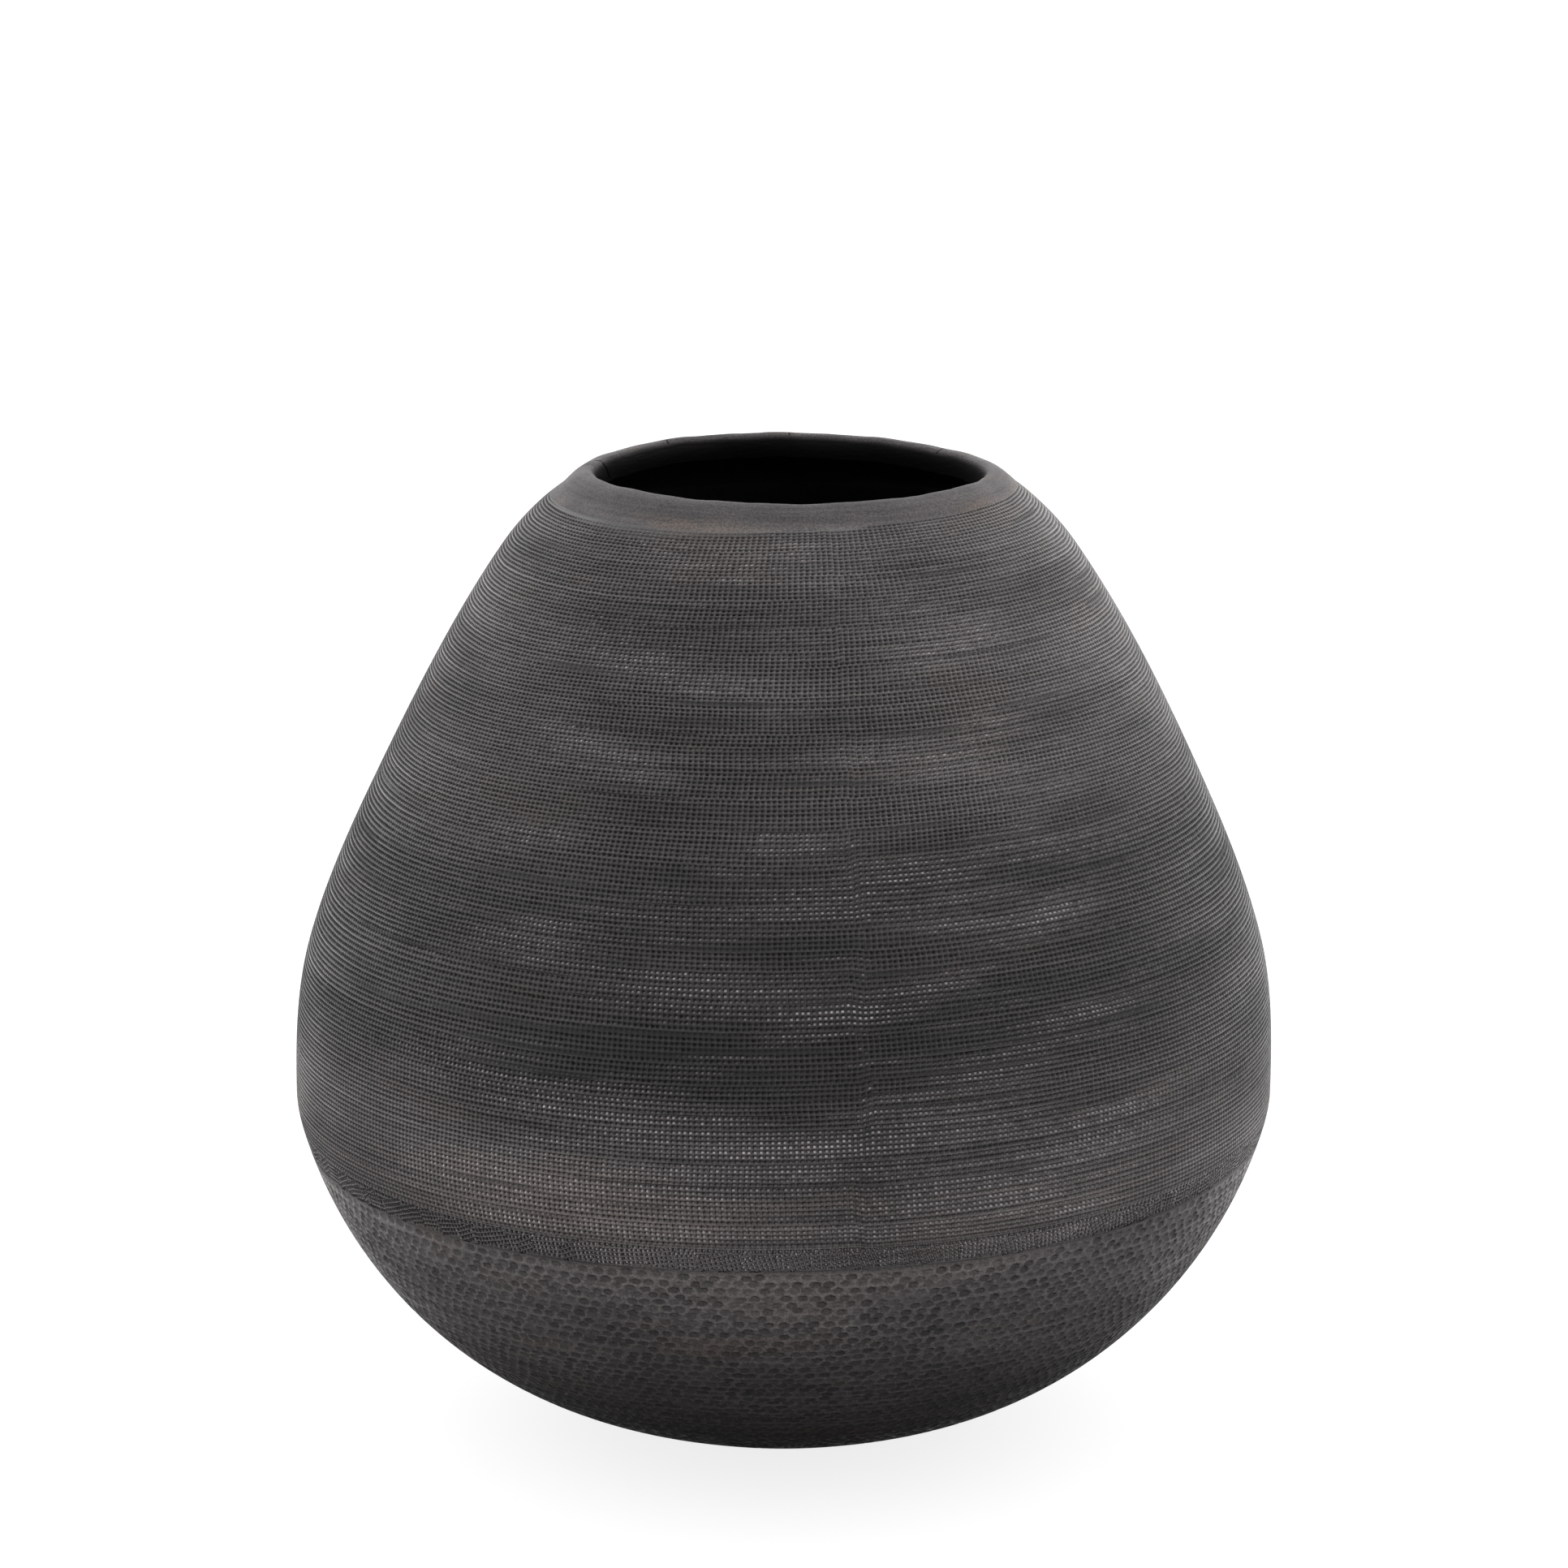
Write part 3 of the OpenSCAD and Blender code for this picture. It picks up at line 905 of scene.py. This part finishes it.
def clay(name, dark, light, brown, pit_shade, dot_highlight, rough, streak=0.35, shiny=0.28):
    """Reduction-fired clay: cloudy bands, streaks along the rows, brown patches, painted shade in the hollows
    and painted highlights on the dots.
    """
    n = Nodes(name)
    slope = (0, ROW_SLOPE, 0)
    clouds = n.noise(n.stretched(CLOUDS, slope))
    bands = n.noise(n.stretched(BANDS, slope), roughness=0.6)
    streaks = n.noise(n.stretched(STREAKS, slope), detail=2.0)
    browns = n.noise(n.stretched(BROWNS, slope), roughness=0.6)
    grain = n.noise(n.stretched((1, 1, 1)), GRAIN, roughness=0.65)

    clouded = n.remap(clouds, *NOISE, -CLOUD_LEVEL, CLOUD_LEVEL)
    level = n.math("ADD", clouded, n.remap(bands, *NOISE, -BAND_LEVEL, BAND_LEVEL))
    level = n.math("ADD", level, n.remap(streaks, *NOISE, -streak, streak))
    colour = n.mix(n.remap(level, -FULL_LEVEL, FULL_LEVEL), grey(dark), grey(light, LIGHT_WARMTH))
    colour = n.mix(n.remap(browns, *BROWN_NOISE, 0.0, BROWN_SHARE), colour, brown)
    colour = n.mix(n.remap(n.mark("tone"), *BROWN_TONE, 0.0, BROWN_SHARE), colour, brown)
    colour = n.mix(n.remap(grain, *GRAIN_NOISE, 0.0, GRAIN_SHARE), colour, grey(dark * GRAIN_DARK))
    colour = toned(n, colour)
    # painted shade in the hollows
    colour = n.mix(n.math("MULTIPLY", n.mark("pit"), pit_shade), colour, grey(SHADE_GREY))
    # painted highlight on the dots
    painted_highlight = n.math("MULTIPLY", n.mark("dot"), n.remap(level, -HIGHLIGHT_LEVELS, HIGHLIGHT_LEVELS, HIGHLIGHT_DULL, 1.0))
    colour = n.mix(n.math("MULTIPLY", painted_highlight, dot_highlight), colour, grey(HIGHLIGHT_GREY, HIGHLIGHT_WARMTH))
    n.link(colour, n.shader.inputs["Base Color"])

    clouded_rough = n.remap(clouds, *NOISE, rough + GLOSS_SWING, rough - GLOSS_SWING)
    gloss = n.math("SUBTRACT", clouded_rough, n.math("MULTIPLY", painted_highlight, DOT_GLOSS))
    n.link(n.math("MULTIPLY_ADD", n.mark("pit"), PIT_ROUGH, gloss), n.shader.inputs["Roughness"])
    n.shader.inputs["Specular IOR Level"].default_value = shiny
    n.link(n.bump(grain, *GRAIN_BUMP, n.bump(streaks, *STREAK_BUMP)), n.shader.inputs["Normal"])
    return n.material


def raw_clay(name):
    """The unpolished inside: sooty black and dull, with a coarse grain, darkened further by the painted shade
    that the tone mark holds.
    """
    n = Nodes(name)
    cloud = n.noise(n.stretched(SOOT), detail=4.0, roughness=0.6)
    colour = n.mix(n.remap(cloud, *GRAIN_NOISE), grey(SOOT_DARK), grey(SOOT_LIGHT, SOOT_WARMTH))
    n.link(toned(n, colour), n.shader.inputs["Base Color"])
    n.link(n.remap(cloud, *NOISE, *SOOT_ROUGH), n.shader.inputs["Roughness"])
    n.shader.inputs["Specular IOR Level"].default_value = SOOT_SHINY
    grain = n.noise(n.stretched((1, 1, 1)), COARSE_GRAIN, roughness=0.6)
    n.link(n.bump(grain, *SOOT_BUMP), n.shader.inputs["Normal"])
    return n.material


INSIDE = raw_clay("raw_clay")
ROULETTED = clay(
    "rouletted_clay", dark=0.039, light=0.144, brown=grey(0.092, 0.16),
    pit_shade=1.0, dot_highlight=1.0, rough=0.42,
)
DIMPLED = clay(
    "dimpled_clay", dark=0.062, light=0.165, brown=grey(0.120, 0.15),
    pit_shade=0.95, dot_highlight=0.0, rough=0.48, streak=0.2,
)
BURNISHED = clay(
    "burnished_clay", dark=0.054, light=0.130, brown=grey(0.124, 0.30),
    pit_shade=1.0, dot_highlight=0.8, rough=0.66, streak=0.3, shiny=0.10,
)

# -------- the pieces, from the foot up

FLAT_COUNT = 200
FLAT_EDGE = 0.5  # from the flat's edge to the first dimpled ring
FLOOR_IN, FLOOR_RINGS = 6.0, 8  # the inside face runs in to here, before the fan that closes it

rng = np.random.default_rng(7)
all_dimples = dimple_rows(rng)

flat_angles = angles(FLAT_COUNT)
flat_edge = Ring(flat_angles, place(flat_angles, np.zeros(FLAT_COUNT), 0.0, along_rows=False), corner=True)
base_outside = dimpled_rings(all_dimples, S["rest"] + FLAT_EDGE, S["pad"])
base_outside[-1].corner = True
floor_runs = np.linspace(S["pad"] - LAP, FLOOR_IN, FLOOR_RINGS)
base_inside = [inside_ring(s, corner=s == floor_runs[0]) for s in floor_runs]
piece(
    "base_pad_clay", "base_pad", DIMPLED,
    [flat_edge] + base_outside + [ledge_ring("pad")] + base_inside, tips=[(0, 0, 0), (0, 0, WALL_T)],
)

bowl_outside = dimpled_rings(all_dimples, S["pad"], S["bowl"])
bowl_outside[0].corner = bowl_outside[-1].corner = True
piece("lower_bowl_clay", "lower_bowl", DIMPLED, bowl_outside + inside("pad", "bowl"))

belly_outside = border_rings(rng) + course_outside(rng, BORDER_TOP + STRIP_GAP, S["turn"])
belly_outside[0].corner = True
courses = {"belly_course": ("bowl", "turn", belly_outside)}
for node, low, high in (
    ("lower_flank_course", "turn", "flank"),
    ("upper_flank_course", "flank", "shoulder"),
    ("shoulder_course", "shoulder", "lip_foot"),
):
    courses[node] = (low, high, [joint_ring(low)] + course_outside(rng, S[low] + STRIP_GAP, S[high]))
for node, (low, high, outside) in courses.items():
    rings = outside + [joint_ring(high)] + inside(low, high)
    piece(node + "_clay", node, ROULETTED, rings)

# -------- the rolled lip

CRACK_W, CRACK_DEPTH = 0.22, 0.7
CRACK_EDGE = (1.6, 0.4)  # from the edge of a crack to its middle, painted dark as shade, in crack widths
# Cracks over the lip, as azimuth in degrees and distance inward from the crest: where the coil's
# ends overlap on the left, one across the back on the right, and three small nicks
CRACKS = (
    ((-103.4, -2.2), (-104.2, -0.4), (-106.4, 1.5), (-106.2, 3.2), (-107.6, 5.0), (-109.5, 8.0)),
    ((128.6, -1.6), (129.1, 0.2), (129.9, 3.0)),
    ((-140.6, 0.6), (-140.1, 2.3)),
    ((180.4, 0.3), (180.0, 1.7)),
    ((14.4, 0.4), (14.8, 1.6)),
)
HOLE, HOLE_R, HOLE_EDGE = (-106.3, 3.0), 0.75, (1.2, 0.7)  # the hole in the left crack
LUMP, LUMP_W, LUMP_H, LUMP_OUT = (-100.5, -0.3), 3.2, 1.6, 0.55  # the flattened end of the coil
# Depth of the faint wipe lines and of the dents in the edge, and how many go round
WIPE, WIPES, DENT, DENTS = 0.02, (3, 60), 0.05, (12, 50)
DENTS_FROM = (S["crest"] - 2, S["crest"] + 1)
# Going inward from the crest, the lip is painted darker and darker as shade going into the mouth, and then
# has the inside's clay
MOUTH_SHADE_FROM, LAND_SHADE_FROM, CLAY_CHANGE = (S["crest"] + 0.6, S["crest"] + 4.2), S["crest"] + 2, S["crest"] + 4.0
LIP_WAVE, LIP_WAVES, LIP_TONE, LAND_SHADE = 0.25, (1, 7), -0.15, -9
# How many steps the mesh takes up to the crest, over it, and down the land
CREST_STEPS, ROLL_STEPS, LAND_STEPS = 40, 18, 16


def from_crest(angle, s, azimuth, distance):
    """How far points are along and across the lip from a place on it."""
    along = ((angle - math.radians(azimuth) + math.pi) % TURN - math.pi) * CREST_R
    return along, s - S["crest"] - distance


def crack_marks(angle, s):
    """1 in the middle of a crack or of the hole, 0 away from them."""
    found = np.zeros(angle.shape)
    for line in CRACKS:
        for start, end in zip(line, line[1:]):
            x, y = from_crest(angle, s, *start)
            dx = math.radians(end[0] - start[0]) * CREST_R
            dy = end[1] - start[1]
            share = np.clip((x * dx + y * dy) / (dx * dx + dy * dy), 0, 1)
            away = np.hypot(x - share * dx, y - share * dy) / CRACK_W
            found = np.maximum(found, smooth(away, *CRACK_EDGE))
    return np.maximum(found, smooth(np.hypot(*from_crest(angle, s, *HOLE)) / HOLE_R, *HOLE_EDGE))


def lip_ring(rng, s):
    """A ring over the lip: wiped smooth, with faint wipe lines, a dented edge and the cracks, with painted
    shade in the cracks and going into the mouth.
    """
    angle = angles(JOINT_COUNT)
    crack = crack_marks(angle, s)
    x, y = from_crest(angle, s, *LUMP)
    lump = LUMP_OUT * np.exp(-((x / LUMP_W) ** 4) - (y / LUMP_H) ** 2)
    wipe = WIPE * wave(rng, angle, WIPES)
    dents = DENT * wave(rng, angle, DENTS) * smooth(s, *DENTS_FROM)
    depth = CRACK_DEPTH * crack + wipe + dents - lump
    # the land is painted darker as shade going down into the mouth
    tone = LIP_WAVE * wave(rng, angle, LIP_WAVES) + LIP_TONE + LAND_SHADE * smooth(s, LAND_SHADE_FROM, S["land_end"])
    points = place(angle, np.full(JOINT_COUNT, s), depth)
    # painted shade going into the mouth, and in the cracks and the hole
    return Ring(angle, points, np.maximum(smooth(s, *MOUTH_SHADE_FROM), crack), tone=tone, inner=s > CLAY_CHANGE)


lip_runs = np.concatenate([
    np.linspace(S["lip_foot"], S["crest"], CREST_STEPS)[1:],
    np.linspace(S["crest"], S["land"], ROLL_STEPS)[1:],
    np.linspace(S["land"], S["land_end"], LAND_STEPS)[1:],
])
lip = [joint_ring("lip_foot")] + [lip_ring(rng, s) for s in lip_runs]
lip[-1].corner = True
lip += [inside_ring(S["lip_foot"] - LAP, corner=True), ledge_ring("lip_foot")]
piece("lip_coil_clay", "lip_coil", BURNISHED, lip)

# -------- floor, light and camera

FLOOR_HALF, FLOOR_Z = 12.0, -0.0003  # metres: its edge is out of view, and it lies a hair below the foot
FLOOR_GREY, FLOOR_GLOW, FLOOR_ROUGH = 0.25, 0.82, 0.9
# Where the room grows lighter: from the front to the sides, to the back, to overhead, and up from below
SIDE_WAY, BACK_WAY, OVER_WAY, LOW_WAY = (0.15, 0.95), (0.2, 0.95), (0.3, 1.0), (-0.75, -0.1)
LENS, SENSOR, CLIP = 115.7, 36.0, (0.05, 60.0)
CAMERA_PITCH, CAMERA_DISTANCE, AIM_Z = math.radians(13.4), 1.641, 0.2108


def add_floor():
    """A wide pale floor, which lights nothing and is not mirrored."""
    half, level = FLOOR_HALF, FLOOR_Z
    mesh = bpy.data.meshes.new("floor")
    corners = [(-half, -half, level), (half, -half, level), (half, half, level), (-half, half, level)]
    mesh.from_pydata(corners, [], [(0, 1, 2, 3)])
    floor = bpy.data.objects.new("floor", mesh)
    bpy.context.scene.collection.objects.link(floor)
    material = bpy.data.materials.new("floor_white")
    material.use_nodes = True
    shader = material.node_tree.nodes["Principled BSDF"]
    shader.inputs["Base Color"].default_value = (FLOOR_GREY, FLOOR_GREY, FLOOR_GREY, 1)
    shader.inputs["Roughness"].default_value = FLOOR_ROUGH
    shader.inputs["Specular IOR Level"].default_value = 0.0
    shader.inputs["Emission Color"].default_value = (1, 1, 1, 1)
    shader.inputs["Emission Strength"].default_value = FLOOR_GLOW
    mesh.materials.append(material)
    floor.visible_diffuse = False
    floor.visible_glossy = False


def add_world(front, side, back, overhead):
    """A white room, brightest at the sides, behind and overhead, dark below. The camera sees plain white."""
    world = bpy.data.worlds.new("studio")
    bpy.context.scene.world = world
    world.use_nodes = True
    nodes, links = world.node_tree.nodes, world.node_tree.links
    nodes["Background"].inputs["Color"].default_value = (1, 1, 1, 1)
    ways = nodes.new("ShaderNodeTexCoord")
    split = nodes.new("ShaderNodeSeparateXYZ")
    links.new(ways.outputs["Generated"], split.inputs["Vector"])

    def maths(operation, *values):
        node = nodes.new("ShaderNodeMath")
        node.operation = operation
        for k, value in enumerate(values):
            links.new(value, node.inputs[k])
        return node.outputs[0]

    def ramp(way, low, high, to_low, to_high):
        node = nodes.new("ShaderNodeMapRange")
        node.interpolation_type = "SMOOTHSTEP"
        links.new(way, node.inputs["Value"])
        for name, v in {"From Min": low, "From Max": high, "To Min": to_low, "To Max": to_high}.items():
            node.inputs[name].default_value = v
        return node.outputs["Result"]

    sideways = maths("ABSOLUTE", split.outputs["X"])
    light = ramp(sideways, *SIDE_WAY, front, side)
    light = maths("ADD", light, ramp(split.outputs["Z"], *OVER_WAY, 0.0, overhead))
    light = maths("ADD", light, ramp(split.outputs["Y"], *BACK_WAY, 0.0, back))
    light = maths("MULTIPLY", light, ramp(split.outputs["Z"], *LOW_WAY, 0.0, 1.0))
    path = nodes.new("ShaderNodeLightPath")
    seen = nodes.new("ShaderNodeMix")
    seen.inputs["B"].default_value = 1.0
    links.new(path.outputs["Is Camera Ray"], seen.inputs["Factor"])
    links.new(light, seen.inputs["A"])
    links.new(seen.outputs["Result"], nodes["Background"].inputs["Strength"])


def add_camera():
    """The photographed view: from the front, looking down on the pot with a long lens."""
    data = bpy.data.cameras.new("camera")
    data.lens, data.sensor_width = LENS, SENSOR
    data.clip_start, data.clip_end = CLIP
    camera = bpy.data.objects.new("camera", data)
    ahead, above = CAMERA_DISTANCE * math.cos(CAMERA_PITCH), CAMERA_DISTANCE * math.sin(CAMERA_PITCH)
    camera.location = (0, -ahead, AIM_Z + above)
    camera.rotation_euler = (math.pi / 2 - CAMERA_PITCH, 0, 0)
    bpy.context.scene.collection.objects.link(camera)
    bpy.context.scene.camera = camera


add_floor()
add_world(front=0.5, side=1.68, back=2.3, overhead=0.85)
add_camera()
bpy.context.scene.view_settings.view_transform = "Standard"
